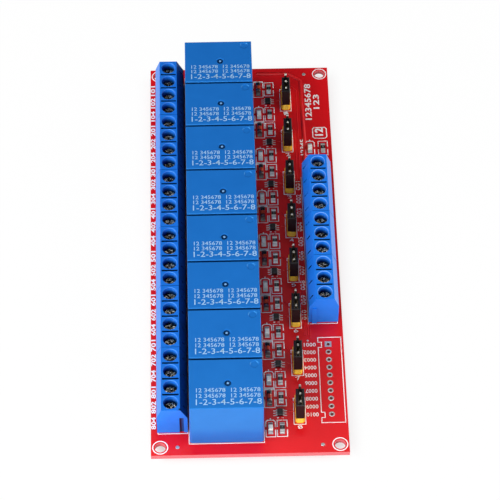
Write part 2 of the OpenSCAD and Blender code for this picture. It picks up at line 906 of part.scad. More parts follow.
board();
for (i = [1:CHANNELS]) {
    relay(i);
    jumper_base(i);
    jumper_cap(i);
}
for (i = [1:OUTPUT_BLOCKS])
    output_terminal(i);
for (i = [1:3])
    input_terminal(i);
output_screws();
input_screws();
output_clamps();
input_clamps();
output_leaves();
input_leaves();
output_pins();
input_pins();
relay_pins();
jumper_pins();
jumper_springs();
transistors();
transistor_leads();
diode_bodies();
diode_caps();
resistor_bodies();
resistor_caps();
led_bases();
led_lenses();
surface_solder();
solder_joints();
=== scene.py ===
# %% [markdown]
# # An eight-channel relay board
# The solids come from the packed part. This script gives them their finishes, adds what is too thin
# to be a solid (print, tracks, tinned rings), and sets the camera, the floor and the light.
# Lengths are in metres, and `mm` turns a length in millimetres into metres.

import json
import math

import bmesh
import bpy
from mathutils import Matrix, Vector


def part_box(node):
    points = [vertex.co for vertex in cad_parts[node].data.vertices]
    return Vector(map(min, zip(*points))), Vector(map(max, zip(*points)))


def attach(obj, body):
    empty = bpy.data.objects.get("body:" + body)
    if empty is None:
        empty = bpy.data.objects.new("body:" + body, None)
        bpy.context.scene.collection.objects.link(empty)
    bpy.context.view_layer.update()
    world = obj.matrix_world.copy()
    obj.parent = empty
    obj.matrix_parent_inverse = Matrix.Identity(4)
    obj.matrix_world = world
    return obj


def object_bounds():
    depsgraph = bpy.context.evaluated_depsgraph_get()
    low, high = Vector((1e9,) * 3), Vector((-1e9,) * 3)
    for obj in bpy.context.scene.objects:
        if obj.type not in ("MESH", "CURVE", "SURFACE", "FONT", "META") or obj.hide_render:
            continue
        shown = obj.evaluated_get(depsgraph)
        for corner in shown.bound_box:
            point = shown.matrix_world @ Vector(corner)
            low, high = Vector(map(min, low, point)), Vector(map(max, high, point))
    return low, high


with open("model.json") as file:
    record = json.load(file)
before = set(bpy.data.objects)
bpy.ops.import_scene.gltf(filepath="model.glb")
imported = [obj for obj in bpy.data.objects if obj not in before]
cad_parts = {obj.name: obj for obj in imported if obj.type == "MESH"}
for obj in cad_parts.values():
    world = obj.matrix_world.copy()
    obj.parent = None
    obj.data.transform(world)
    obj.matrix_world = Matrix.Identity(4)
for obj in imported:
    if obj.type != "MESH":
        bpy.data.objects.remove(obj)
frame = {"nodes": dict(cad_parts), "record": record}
cad_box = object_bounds()
mm = 0.001
nodes = frame["nodes"]
board_low, board_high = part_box("board")
board_top, board_under = board_high.z, board_low.z
print("board", [round(v / mm, 2) for v in board_high - board_low], "mm")

# %% [markdown]
# ## Where the small parts are
# Print, rings and tracks have to follow the parts they belong to. Their places could be typed in
# again, but then they would be wrong as soon as a size changes, so they are read from the solids.
# One node holds all the parts of a kind, and its mesh is many separate shells. Welding a copy and
# walking from each corner to its neighbours finds the shells, and the box round a shell says where
# that part is.


# %% Find each part of a kind
def each_part(node):
    """The (low, high) corners of every separate part in a node, furthest back first."""
    shells = bmesh.new()
    shells.from_mesh(nodes[node].data)
    bmesh.ops.remove_doubles(shells, verts=shells.verts, dist=0.001 * mm)
    seen, found = set(), []
    for start in shells.verts:
        if start in seen:
            continue
        seen.add(start)
        shell, waiting = [], [start]
        while waiting:
            corner = waiting.pop()
            shell.append(corner.co.copy())
            for edge in corner.link_edges:
                other = edge.other_vert(corner)
                if other not in seen:
                    seen.add(other)
                    waiting.append(other)
        low = Vector(min(c[k] for c in shell) for k in range(3))
        high = Vector(max(c[k] for c in shell) for k in range(3))
        found.append((low, high))
    shells.free()
    return sorted(found, key=lambda part: (-round(part[0].y / mm, 1), part[0].x))


def middle(part):
    return (part[0] + part[1]) / 2


channels = range(1, 9)
relays = [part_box(f"relay_{i}") for i in channels]
headers = [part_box(f"jumper_base_{i}") for i in channels]
resistors = each_part("resistor_bodies")
lamps = each_part("led_bases")
diodes = each_part("diode_bodies")
chips = each_part("transistors")
output_pins = [middle(part) for part in each_part("output_pins")]
input_pins = [middle(part) for part in each_part("input_pins")]
relay_pins = [middle(part) for part in each_part("relay_pins")]
jumper_pins = [middle(part) for part in each_part("jumper_pins")]
print(len(resistors), "resistors,", len(lamps), "lamps,", len(relay_pins), "relay pins")

# %% [markdown]
# ## The camera
# The board is seen from in front and above with a long lens, so its sides stay almost parallel.
# A camera can be placed by hand or by a Track To constraint. Here a point to aim at, a distance and
# three angles give its matrix, because they are easier to read than a place and a rotation.

# %% Camera
aim = Vector((1.495, -3.875, 6.6)) * mm
distance = 660.75 * mm
turn, height, roll = math.radians(-1.712), math.radians(53.2), math.radians(0.283)
facing = (
    Matrix.Rotation(turn, 4, "Z")
    @ Matrix.Rotation(math.pi / 2 - height, 4, "X")
    @ Matrix.Rotation(roll, 4, "Z")
)
lens = bpy.data.cameras.new("camera")
lens.sensor_width = 36
lens.lens = 168.96
lens.clip_start = 0.05
camera = bpy.data.objects.new("camera", lens)
bpy.context.scene.collection.objects.link(camera)
camera.matrix_world = Matrix.Translation(aim + facing @ Vector((0, 0, distance))) @ facing
bpy.context.scene.camera = camera
print("camera at", [round(v / mm) for v in camera.location], "mm")

# %% [markdown]
# ## Shader maths
# A finish is a tree of nodes. Each Math node could be added and linked by hand, at three lines a
# node. `Wire` wraps one output socket instead, so that `wire * 0.5 + 1` adds its nodes by itself
# and a mask reads like the sum it is.


# %% Wires
def join(tree, value, socket):
    """Links a wire to a socket, or sets the socket to a plain value."""
    if isinstance(value, Wire):
        tree.links.new(value.socket, socket)
    elif socket.type == "RGBA":
        socket.default_value = (*value[:3], 1)
    else:
        socket.default_value = value


class Wire:
    """One output of a node, which Python's operators can work on."""

    def __init__(self, socket):
        self.socket, self.tree = socket, socket.id_data

    def maths(self, operation, *values):
        node = self.tree.nodes.new("ShaderNodeMath")
        node.operation = operation
        for value, socket in zip(values, node.inputs):
            join(self.tree, value, socket)
        return Wire(node.outputs[0])

    def __add__(self, other):
        return self.maths("ADD", self, other)

    def __radd__(self, other):
        return self.maths("ADD", other, self)

    def __sub__(self, other):
        return self.maths("SUBTRACT", self, other)

    def __rsub__(self, other):
        return self.maths("SUBTRACT", other, self)

    def __mul__(self, other):
        return self.maths("MULTIPLY", self, other)

    def __rmul__(self, other):
        return self.maths("MULTIPLY", other, self)

    def __abs__(self):
        return self.maths("ABSOLUTE", self)

    def __gt__(self, other):
        return self.maths("GREATER_THAN", self, other)

    def __lt__(self, other):
        return self.maths("LESS_THAN", self, other)


methods = [name for name, value in vars(Wire).items() if callable(value)]
print("a wire has", len(methods), "methods")

# %% [markdown]
# ## Finishes
# `Finish` makes a material and every node that isn't Math. A node group could hold the parts that
# finishes share, but a reader would have to open it to see what it does, so they are short methods.
# They work on object coordinates, so that a finish can be tied to a place on the board.


# %% Finishes
class Finish:
    """A material and the nodes behind it."""

    def __init__(self, name):
        self.material = bpy.data.materials.new(name)
        self.material.use_nodes = True
        self.tree = self.material.node_tree
        self.shader = self.tree.nodes["Principled BSDF"]

    def add(self, kind, settings=None, inputs=None, output=0):
        """Adds a node: its settings first, then the values or wires of its sockets."""
        node = self.tree.nodes.new(kind)
        for key, value in (settings or {}).items():
            setattr(node, key, value)
        for key, value in (inputs or {}).items():
            join(self.tree, value, node.inputs[key])
        return Wire(node.outputs[output])

    def place(self, scale=(1, 1, 1)):
        """Object coordinates through a Mapping node."""
        spot = self.add("ShaderNodeTexCoord", output="Object")
        return self.add("ShaderNodeMapping", inputs={"Vector": spot, "Scale": scale})

    def axes(self):
        """The three object coordinates as separate wires."""
        where = {"Vector": self.place()}
        return [self.add("ShaderNodeSeparateXYZ", inputs=where, output=axis) for axis in "XYZ"]

    def repeat(self, value, step):
        """Starts again at 0 after every step."""
        return self.add("ShaderNodeMath", {"operation": "FLOORED_MODULO"}, {0: value, 1: step})

    def near(self, value, centre, step, reach):
        """1 within `reach` of `centre` and of its repeats, else 0."""
        return abs(self.repeat(value - (centre - step / 2), step) - step / 2) < reach

    def ramp(self, value, start, end, top):
        """Climbs from 0 to `top` between two values."""
        return self.add("ShaderNodeMapRange", inputs={0: value, 1: start, 2: end, 3: 0.0, 4: top})

    def noise(self, size, detail=2, scale=(1, 1, 1)):
        """Noise from 0 to 1 whose lumps are about `size` metres across."""
        return self.add(
            "ShaderNodeTexNoise",
            inputs={"Vector": self.place(scale), "Scale": 1 / size, "Detail": detail},
        )

    def blend(self, amount, first, second):
        """A colour between two colours."""
        sockets = {0: amount, 6: first, 7: second}
        return self.add("ShaderNodeMix", {"data_type": "RGBA"}, sockets, output=2)

    def bump(self, relief, strength, depth):
        """A normal that tilts as if the relief stood `depth` high."""
        sockets = {"Height": relief, "Strength": strength, "Distance": depth}
        return self.add("ShaderNodeBump", inputs=sockets)

    def set(self, **values):
        """Sets sockets of the shader; Base_Color stands for Base Color."""
        for key, value in values.items():
            join(self.tree, value, self.shader.inputs[key.replace("_", " ")])
        return self


def dress(finish, *names):
    """Gives a finish to CAD nodes."""
    for name in names:
        for slot in nodes[name].material_slots:
            slot.material = finish.material
    print(finish.material.name, "on", len(names), "nodes")


# %% [markdown]
# ## The board
# The board is woven glass in resin, with a glossy red lacquer over both faces. The sawn edge and the
# walls of the holes show the pale resin. It could have a material for the faces and one for the
# edges, but then the triangles would have to be sorted, so one material does all of it: the height
# in the object tells lacquer from edge. Two crossed waves are the weave, which shows faintly
# through the lacquer.

# %% Red lacquer over glass laminate
skin = 0.02 * mm


def lacquered(name, dark, light, edge_dark, edge_light):
    made = Finish(name)
    level = made.axes()[2]
    coated = (level > board_top - skin) + (level < board_under + skin)
    dust = made.noise(0.35 * mm, 3)
    weave = [
        made.add(
            "ShaderNodeTexWave",
            {"bands_direction": direction},
            {"Vector": made.place(), "Scale": 420, "Distortion": 1.5},
            output=1,
        )
        for direction in ("X", "Y")
    ]
    resin = made.blend(made.noise(0.5 * mm, 2, (1, 1, 4)), edge_dark, edge_light)
    red = made.blend(made.noise(9 * mm, 3), dark, light)
    made.set(
        Base_Color=made.blend(coated, resin, red),
        Roughness=0.62 - coated * 0.34 + dust * 0.06,
        Normal=made.bump((weave[0] + weave[1]) * 0.3 + dust * 0.5, 0.25, 0.02 * mm),
        Specular_IOR_Level=0.35,
    )
    return made


lacquer = lacquered(
    "solder_mask", (0.62, 0.004, 0.008), (0.74, 0.006, 0.012), (0.50, 0.07, 0.09), (0.66, 0.17, 0.18)
)
dress(lacquer, "board")

# %% [markdown]
# ## Blue plastic
# Relays and terminals are both moulded in blue plastic, with a slow waviness, as all thin mouldings
# have, and a fine grain from the tool. The cases come from a polished tool and are the darker blue.
# The housings are a brighter nylon from a sparked tool, so they are grainier and duller. An even
# colour with one roughness would look like paper, and a texture image would need unwrapping, so two
# noises of different size do it for both.


# %% Blue plastic
def blue_plastic(name, dark, light, roughness, wave, grain, gloss):
    made = Finish(name)
    waves = made.noise(wave * mm, 2)
    grains = made.noise(grain * mm, 3)
    made.tint = made.blend(waves, dark, light)
    return made.set(
        Base_Color=made.tint,
        Roughness=grains * 0.08 + roughness,
        Normal=made.bump(waves + grains * 0.05, 0.15, 0.05 * mm),
        Specular_IOR_Level=gloss,
        Specular_Tint=(0.2, 0.78, 1.0),
        IOR=1.55,
    )


case_blue = blue_plastic("relay_case", (0.009, 0.123, 0.445), (0.012, 0.144, 0.50), 0.2, 5, 0.25, 0.5)
nylon = blue_plastic(
    "terminal_plastic", (0.010, 0.145, 0.62), (0.014, 0.180, 0.73), 0.28, 4, 0.18, 0.42
)
for plastic in (case_blue, nylon):
    print(plastic.material.name, len(plastic.tree.nodes), "nodes")

# %% [markdown]
# ## The relay cases
# The gaps between the cases get hardly any light, and painted shade darkens them. Painted shade also
# darkens the ring-shaped recess round the pip of each vent, and a painted highlight makes the pip's
# top pale. These could be painted by hand, but they repeat with the pitch of the relays, so a
# distance that starts again after every relay makes them all from one relay's place.

# %% Relay cases
row_low, row_high = relays[-1][0], relays[0][1]
relay_step = (relays[0][0].y - row_low.y) / (len(relays) - 1)
gap_y = (relays[-1][1].y + relays[-2][0].y) / 2
x, y, z = case_blue.axes()
below_top = row_high.z - z
between = abs(y - (row_low.y + row_high.y) / 2) < (row_high.y - row_low.y) / 2 - 1 * mm
# painted shade: the gaps between the cases are darkened below their top edge
gap = case_blue.near(y, gap_y, relay_step, 0.5 * mm) * between
painted_shade = gap * case_blue.ramp(below_top, 0.25 * mm, 0.6 * mm, 0.9)
vent = middle(relays[0]) + Vector((0.5, 0.2, 0)) * mm
vent_r, pip_r, dish_depth = 0.95 * mm, 0.36 * mm, 0.18 * mm
across = x - vent.x
along = case_blue.repeat(y - (vent.y - relay_step / 2), relay_step) - relay_step / 2
spread = across * across + along * along
deep = below_top > dish_depth
# painted shade in the recess round each vent's pip
painted_shade = painted_shade + (spread < vent_r**2) * deep * 0.65
# painted highlight: the top of each pip is made pale
pip = (spread < pip_r**2) * (1 - deep) * 0.4
shaded = case_blue.blend(painted_shade, case_blue.tint, (0.001, 0.006, 0.03))
case_blue.set(Base_Color=case_blue.blend(pip, shaded, (0.42, 0.72, 0.92)))
dress(case_blue, *[f"relay_{i}" for i in channels])

# %% [markdown]
# ## Where the wells are
# Shade is painted into the wells and slots and a highlight onto the rims, so the finish needs to know
# where the screws and the ends of the housings are. The screws are found as the other small parts
# were. The ways have one pitch inside a housing, with a small joint between two housings.

# %% Screws and pitch
out_low, out_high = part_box("output_terminal_6")[0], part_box("output_terminal_1")[1]
in_low, in_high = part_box("input_terminal_3")[0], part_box("input_terminal_1")[1]
out_screws = [middle(part) for part in each_part("output_screws")]
in_screws = [middle(part) for part in each_part("input_screws")]
way, housing = out_screws[0].y - out_screws[1].y, out_screws[0].y - out_screws[4].y
joint = in_screws[3].y - in_screws[4].y - way
middle_low, middle_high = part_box("input_terminal_2")
print("way", round(way / mm, 2), "mm, joint", round(joint / mm, 2), "mm")

# %% [markdown]
# ## The terminal housings
# Painted shade darkens the housings: the wells grow darker with depth, their slots and test slits
# are dark at once, and the bevel beside the relays is darker, with a dark dovetail groove at the
# front end. A painted highlight makes the rims of the wells pale. Ambient occlusion could find the
# hollows, but it would darken every joint as well, so depth below the top and distance from the
# nearest screw find them.

# %% Terminal plastic
x, y, z = nylon.axes()
sunk = out_high.z - z
# painted shade: darker with depth in the wells, and dark at once in the slots
well = nylon.ramp(sunk, 0.8 * mm, 2.7 * mm, 0.85)
slot = nylon.ramp(sunk, 0.05 * mm, 0.3 * mm, 0.95)
out_slot = nylon.near(nylon.repeat(y - out_low.y, housing), way, way, 0.42 * mm)
even_y = y - (y > middle_high.y - 0.45 * mm) * joint + (y < middle_low.y + 0.3 * mm) * joint
in_slot = nylon.near(even_y, (in_screws[4].y + in_screws[5].y) / 2, way, 0.4 * mm)
bevel_x = out_high.x - 1.95 * mm
behind = y > out_low.y + 0.03 * mm
# painted shade on the bevel beside the relays, and in the dovetail groove at its front end
painted_shade = (x < 0) * (x > bevel_x) * behind * 0.7
painted_shade = painted_shade + (abs(x - bevel_x) < 0.33 * mm) * behind * (y < out_low.y + 0.6 * mm) * 0.9
# painted shade in the test slits
slit = (x > 0) * (x < in_low.x + 1.9 * mm) * (sunk > 1.72 * mm) * (sunk < 3.38 * mm)
painted_shade = painted_shade + slit * nylon.near(even_y, in_screws[4].y, way, 0.25 * mm) * 0.85
# painted highlight on the rims of the wells
lip = (sunk > 0.015 * mm) * (sunk < 0.13 * mm)
painted_rim_highlight = 0
for screw, front, cut, shine in (
    (out_screws[0], out_low.y, out_slot, 0.12),
    (in_screws[0], in_low.y, in_slot, 0.3),
):
    over = (abs(x - screw.x) < 2.22 * mm) * (y > front + 0.5 * mm)
    painted_shade = painted_shade + over * well.maths("MAXIMUM", well, cut * slot)
    painted_rim_highlight = painted_rim_highlight + over * lip * (1 - cut) * shine
shaded = nylon.blend(painted_shade, nylon.tint, (0.002, 0.004, 0.012))
nylon.set(Base_Color=nylon.blend(painted_rim_highlight, shaded, (0.55, 0.72, 0.95)))
dress(nylon, *[n for n in nodes if "_terminal_" in n])


# %% [markdown]
# ## Metals
# Screws, clamps, pins and solder differ in colour, polish and how tarnished they are. Each could be
# a tree of its own, but they are one family: a patchy tint for where they are tarnished, and fine
# marks for the polish. On the screws the patches have a sharp edge: the bright spots are painted
# glints, and the nearly black metal round them is painted shade.


# %% Metal family
def metal(name, colour, tarnish_and_painted_shade, roughness, patch=0.6, painted_glints=None):
    """`painted_glints` gives the noise at which a painted glint ends and the painted shade is full."""
    made = Finish(name)
    patches = made.ramp(made.noise(patch * mm, 1), *painted_glints, 1.0) if painted_glints else made.noise(patch * mm, 3)
    marks = made.noise(0.12 * mm, 3)
    made.tint = made.blend(patches, colour, tarnish_and_painted_shade)
    return made.set(
        Base_Color=made.tint,
        Metallic=1.0,
        Roughness=marks * 0.15 + roughness,
        Normal=made.bump(marks, 0.2, 0.01 * mm),
    )


# the screws: bright painted glints on metal painted nearly black as shade
steel = metal("screw_steel", (1.0, 0.88, 0.60), (0.030, 0.026, 0.018), 0.36, 0.32, (0.6, 0.5))
brass = metal("clamp_brass", (0.78, 0.62, 0.34), (0.55, 0.40, 0.18), 0.25)
bronze = metal("leaf_bronze", (0.72, 0.50, 0.30), (0.50, 0.32, 0.16), 0.25)
tin = metal("tinned_pin", (0.92, 0.92, 0.90), (0.66, 0.66, 0.65), 0.46)
flash = metal("header_pin", (0.86, 0.82, 0.72), (0.55, 0.52, 0.45), 0.28)
dull = metal("diode_metal", (0.30, 0.29, 0.29), (0.12, 0.11, 0.11), 0.3)
dress(steel, "output_screws", "input_screws")
dress(brass, "output_clamps", "input_clamps")
dress(bronze, "output_leaves", "input_leaves", "jumper_springs")
dress(tin, "output_pins", "input_pins", "relay_pins", "transistor_leads", "resistor_caps")
dress(dull, "diode_caps")
dress(flash, "jumper_pins")

# %% [markdown]
# ## Solder
# Solder is bright and slightly frosted, but by the front cap of each diode it is painted dark, as
# shade. A second metal would need a second node, so the painted shade is a mask that repeats with
# the spacing of the diodes, as the painted shade in the gaps between the relays does.

# %% Solder
solder = metal("solder", (0.86, 0.87, 0.88), (0.42, 0.42, 0.43), 0.42, 0.7)
diode_step = (diodes[0][0].y - diodes[-1][0].y) / (len(diodes) - 1)
x, y = solder.axes()[:2]
# painted shade on the solder by the front cap of each diode
beside = solder.near(y, diodes[-1][0].y - 0.8 * mm, diode_step, 1.1 * mm)
beside = beside * (abs(x - middle(diodes[0]).x) < 1 * mm)
solder.set(Base_Color=solder.blend(beside, solder.tint, (0.16, 0.15, 0.15)))
dress(solder, "surface_solder", "solder_joints")


# %% [markdown]
# ## Small mouldings
# The header insulators are yellow and slightly waxy, the caps and chips are black, and the lamps
# have a white base under a pale lens. Subsurface scattering could make the waxy ones softer, but it
# hardly shows on parts this small, so all of them share one recipe, each with its own grain.


# %% Plastic family
def moulding(name, dark, light, roughness, grain, depth=0.01):
    made = Finish(name)
    lumps = made.noise(grain * mm, 3)
    return made.set(
        Base_Color=made.blend(lumps, dark, light),
        Roughness=lumps * 0.1 + roughness,
        Normal=made.bump(lumps, 0.3, depth * mm),
    )


base_yellow = moulding("header_yellow", (0.86, 0.48, 0.012), (1.0, 0.74, 0.09), 0.18, 0.6, 0.05)
cap_black = moulding("cap_black", (0.006, 0.0055, 0.006), (0.014, 0.012, 0.013), 0.25, 0.2)
cap_black.set(Specular_IOR_Level=0.22)
chip_black = moulding("chip_black", (0.003, 0.003, 0.003), (0.010, 0.010, 0.011), 0.35, 0.1)
dress(base_yellow, *[f"jumper_base_{i}" for i in channels])
dress(cap_black, *[f"jumper_cap_{i}" for i in channels])
dress(chip_black, "transistors", "resistor_bodies")
dress(moulding("lamp_base", (0.62, 0.62, 0.58), (0.78, 0.78, 0.74), 0.45, 0.3), "led_bases")
dress(moulding("lamp_lens", (0.84, 0.85, 0.80), (0.95, 0.95, 0.90), 0.2, 0.4), "led_lenses")

# %% [markdown]
# ## The glass diodes
# A glass diode shows its copper slugs as an orange-red core, and a black band marks one end. Real
# glass with slugs inside would be truer close up, but would cost render time for a part three
# millimetres long. A coat over a streaky core looks the same. The band, and a painted shade over the
# other end of the glass, are steps along the board that repeat with the spacing of the diodes.

# %% Diode glass
glass_l = diodes[0][1].y - diodes[0][0].y
lead = 0.1 * mm
glass = Finish("diode_glass")
within = glass.repeat(glass.axes()[1] - (diodes[-1][0].y - lead), diode_step)
band = within > lead + glass_l * 0.68
# painted shade darkens the front end of the glass
shade = within < lead + glass_l * 0.22
streak = glass.noise(0.4 * mm, 2, (1, 0.4, 1))
glass_dark = band.maths("MAXIMUM", band, shade * 0.8)
core = glass.blend(streak, (0.30, 0.012, 0.004), (0.75, 0.09, 0.02))
glass.set(
    Base_Color=glass.blend(glass_dark, core, (0.012, 0.009, 0.009)),
    Roughness=streak * 0.1 + 0.06,
    Coat_Weight=0.6,
)
dress(glass, "diode_bodies")

# %% [markdown]
# ## Thin pieces
# Print, tracks and tinned rings have almost no thickness. Every stroke could be an object, but that
# would be hundreds of them. Each kind is gathered in one bmesh and becomes one object, so that the
# white print is a few pieces that ride on the board.


# %% Turn a bmesh into a piece
def piece(name, shape, finish, recalculate=True):
    """Makes a finished object from a bmesh. It sits at the origin, with its place in its mesh."""
    if recalculate:
        bmesh.ops.recalc_face_normals(shape, faces=shape.faces)
    mesh = bpy.data.meshes.new(name)
    shape.to_mesh(mesh)
    shape.free()
    mesh.materials.append(finish.material)
    made = bpy.data.objects.new(name, mesh)
    bpy.context.scene.collection.objects.link(made)
    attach(made, "root")
    print(name, len(mesh.polygons), "faces")
    return made


def baked(curve):
    """The mesh of a curve or of text, at the origin. The curve isn't kept."""
    holder = bpy.data.objects.new("holder", curve)
    bpy.context.scene.collection.objects.link(holder)
    bpy.context.view_layer.update()
    ready = holder.evaluated_get(bpy.context.evaluated_depsgraph_get())
    mesh = bpy.data.meshes.new_from_object(ready)
    bpy.data.objects.remove(holder)
    return mesh


def drop_in(shape, mesh, matrix):
    """Adds a mesh to a bmesh, turned and moved."""
    mesh.transform(matrix)
    shape.from_mesh(mesh)
    bpy.data.meshes.remove(mesh)


# %% [markdown]
# ## Printed lines
# A printed line is a path with a width. A row of thin boxes would overlap at the corners, so a curve
# with a round bevel makes it, with mitred corners, and flattening the tube leaves a low ridge of
# paint with its lower half sunk in the board.


# %% Lines on the board
paint = 0.02 * mm


def lines(shape, paths, width, top=board_top, rise=paint):
    """Draws paths of (x, y) points. A path that ends where it starts is closed."""
    curve = bpy.data.curves.new("line", "CURVE")
    curve.dimensions = "3D"
    curve.bevel_depth = width / 2
    curve.bevel_resolution = 0
    for path in paths:
        closed = path[0] == path[-1]
        points = path[:-1] if closed else path
        spline = curve.splines.new("POLY")
        spline.points.add(len(points) - 1)
        for target, (x, y) in zip(spline.points, points):
            target.co = (x, y, 0, 1)
        spline.use_cyclic_u = closed
    flat = Matrix.Translation((0, 0, top)) @ Matrix.Diagonal((1, 1, rise / (width / 2), 1))
    drop_in(shape, baked(curve), flat)


def frame_path(x0, y0, x1, y1, cut=(0, 0, 0, 0)):
    """A closed rectangle. `cut` bevels its corners: front left, front right, back right, back left."""
    a, b, c, d = cut
    path = [(x0 + a, y0), (x1 - b, y0), (x1, y0 + b), (x1, y1 - c)]
    path += [(x1 - c, y1), (x0 + d, y1), (x0, y1 - d), (x0, y0 + a)]
    apart = [p for i, p in enumerate(path) if p != path[i - 1]]
    return apart + [apart[0]]


def brackets(x0, y0, x1, y1, gap, cut=0):
    """Two brackets that open towards each other, as round a chip."""
    mid = (y0 + y1) / 2
    front = [(x0, mid - gap), (x0, y0), (x1, y0), (x1, mid - gap)]
    back = [(x0, mid + gap), (x0, y1 - cut), (x0 + cut, y1)]
    back += [(x1 - cut, y1), (x1, y1 - cut), (x1, mid + gap)]
    return [front, [p for i, p in enumerate(back) if i == 0 or p != back[i - 1]]]


print("a printed line stands", paint / mm, "mm proud")


# %% [markdown]
# ## The white print
# The print outlines each part, to show where it goes when the board is fitted. Brackets stand round
# the lamps, the diodes and the chip resistors, and closed frames round the relays, terminals and
# jumpers. A texture would blur close up. Paths stay sharp, and loops place them from the parts.

# %% Outlines
print_w = 0.34 * mm
ink_lines = bmesh.new()
paths = []


def frame_round(low, high, left, front, right, back):
    """A frame round a box, wider by so many millimetres on each side."""
    x0, y0, x1, y1 = low.x - left * mm, low.y - front * mm, high.x + right * mm, high.y + back * mm
    paths.append(frame_path(x0, y0, x1, y1))


for low, high in relays:
    frame_round(low, high, 0.05, 0.12, 0.05, 0.08)
frame_round(out_low, out_high, -0.25, 0.35, -0.05, 0.3)
frame_round(in_low, in_high, 0.1, 0.1, -0.25, 0.3)
bracket_gap = 0.45 * mm
for parts, half_w, half_l, cut in (
    (resistors, 1.35 * mm, 2.6 * mm, 0),
    (lamps, 1.3 * mm, 2.65 * mm, 0.5 * mm),
    (diodes, 1.4 * mm, 3.05 * mm, 0),
):
    for spot in map(middle, parts):
        x0, x1, y0, y1 = spot.x - half_w, spot.x + half_w, spot.y - half_l, spot.y + half_l
        paths += brackets(x0, y0, x1, y1, bracket_gap, cut)
        if parts is lamps:
            paths.append([(spot.x, y1), (spot.x, y1 + 0.6 * mm)])
        if parts is diodes:
            paths.append([(x0, y1 - 0.3 * mm), (x1, y1 - 0.3 * mm)])
for spot in map(middle, chips):
    ahead = spot.y - 1.35 * mm
    for side in (-1, 1):
        ends = spot.x + side * 0.35 * mm, spot.x + side * 0.85 * mm
        paths.append([(ends[0], ahead), (ends[1], ahead - 0.12 * mm)])
for low, high in headers:
    frame_round(low, high, 0.35, 0.4, 0.3, 0.4)
print(len(paths), "outlines round parts")

# %% [markdown]
# ## The bare header
# Ten plated holes wait for a header. Its outline has two notches, where the real header's latches
# go, so a plain frame won't do and the path goes round corner by corner, with a loop for the
# notches. The holes themselves are in the solid board, and the record says where the first one is.

# %% Header outline
header_mount = next(m for m in frame["record"]["mounts"] if m["name"] == "header_holes")
first_hole = Vector(header_mount["pos_m"])
hole_step, hole_count = 2.54 * mm, 10
holes = [first_hole - Vector((0, k * hole_step, 0)) for k in range(hole_count)]
x0, x1 = first_hole.x - 2.8 * mm, first_hole.x + 3.6 * mm
y1, y0 = first_hole.y + 2.3 * mm, holes[-1].y - 2.7 * mm
notch_x, notch_l = x0 + 0.95 * mm, 1.7 * mm
outline = [(x0, y1), (x1, y1), (x1, y0), (x0, y0)]
for start in (y0 + 1.6 * mm, y1 - 1.6 * mm - notch_l):
    outline += [(x0, start), (notch_x, start), (notch_x, start + notch_l), (x0, start + notch_l)]
paths.append(outline + [outline[0]])
edge_x, edge_y = board_high.x, board_high.y
box_x, box_y, box_w = edge_x - 5.4 * mm, edge_y - 27.5 * mm, 4.1 * mm
paths.append(frame_path(box_x, box_y, box_x + box_w, box_y + box_w, (0.5 * mm,) * 4))
lines(ink_lines, paths, print_w)
print(len(paths), "printed outlines")

# %% [markdown]
# ## Numbers
# Every lettered place on the board carries plain numbers: the channel, the way of a terminal, the
# hole of the header. Numbers could be drawn with the same lines as the outlines, but Blender's own
# font is bolder and needs no drawing. Text is made as a curve, turned into a flat mesh and then
# placed, because an object has to sit at the origin.


# %% Text on the board
def words(shape, text, place, size, turn=0.0, width=None, thick=0.0, top=board_top + paint):
    """Flat text centred on `place`. `width` stretches it to a length; `thick` makes it bolder."""
    curve = bpy.data.curves.new("text", "FONT")
    curve.body = text
    curve.size = size
    curve.align_x, curve.align_y = "CENTER", "CENTER"
    curve.resolution_u = 2
    curve.offset = thick
    mesh = baked(curve)
    reach = max(v.co.x for v in mesh.vertices) - min(v.co.x for v in mesh.vertices)
    stretch = width / reach if width else 1
    place = Matrix.Translation((place[0], place[1], top))
    drop_in(shape, mesh, place @ Matrix.Rotation(turn, 4, "Z") @ Matrix.Diagonal((stretch, 1, 1, 1)))


quarter = math.pi / 2
print("numbers lie", round(paint / mm, 3), "mm above the lacquer")

# %% [markdown]
# ## Which number goes where
# Along the output edge a number is the channel and the contact of that channel. Beside the inputs
# and the header holes it is a plain count. These follow the pins and holes they belong to, so no
# place is typed in twice. The few others are placed from the back right corner and the power lamp.

# %% Numbers on the board
ink_text = bmesh.new()
for k, pin in enumerate(output_pins):
    contact = (1, 2, 4)[k % 3]
    where = (board_low.x + 0.8 * mm, pin.y + 0.5 * mm)
    words(ink_text, f"{k // 3 + 1}0{contact}", where, 1.75 * mm, quarter, 3.9 * mm, 0.05 * mm)
for k, pin in enumerate(input_pins):
    words(ink_text, f"{k + 1:03d}", (in_low.x - 1.0 * mm, pin.y), 1.9 * mm, quarter, 3.3 * mm, 0.01 * mm)
for k, hole in enumerate(holes):
    words(ink_text, f"{k + 1:04d}", (hole.x - 5.2 * mm, hole.y), 1.75 * mm, math.pi, 3.3 * mm, 0.02 * mm)
for k, (low, high) in enumerate(headers):
    where = ((low.x + high.x) / 2, low.y - 1.35 * mm)
    words(ink_text, str(k + 1), where, 1.6 * mm, 0.3, 1.3 * mm, 0.01 * mm)
power_lamp = middle(max(lamps, key=lambda part: part[0].x))
for text, where, size, length, thick in (
    ("12345678", (edge_x - 6.2 * mm, edge_y - 13.7 * mm), 2.6, 14, 0.05),
    ("123", (edge_x - 3.75 * mm, edge_y - 13.7 * mm), 2.4, 5.6, 0.05),
    ("12", (edge_x - 3.4 * mm, edge_y - 25.4 * mm), 3.2, 3.0, 0.12),
    ("12345", (power_lamp.x - 2.1 * mm, power_lamp.y + 0.2 * mm), 1.8, 6, 0.05),
):
    words(ink_text, text, where, size * mm, quarter, length * mm, thick * mm)
print(len(ink_text.faces), "faces of numbers")

# %% [markdown]
# ## White ink
# The ink is matt and a little uneven, and in thin places the red shows through it. A mix with a
# transparent shader could show the real red, but then the print would be a see-through piece, so a
# touch of pink in the colour does it.

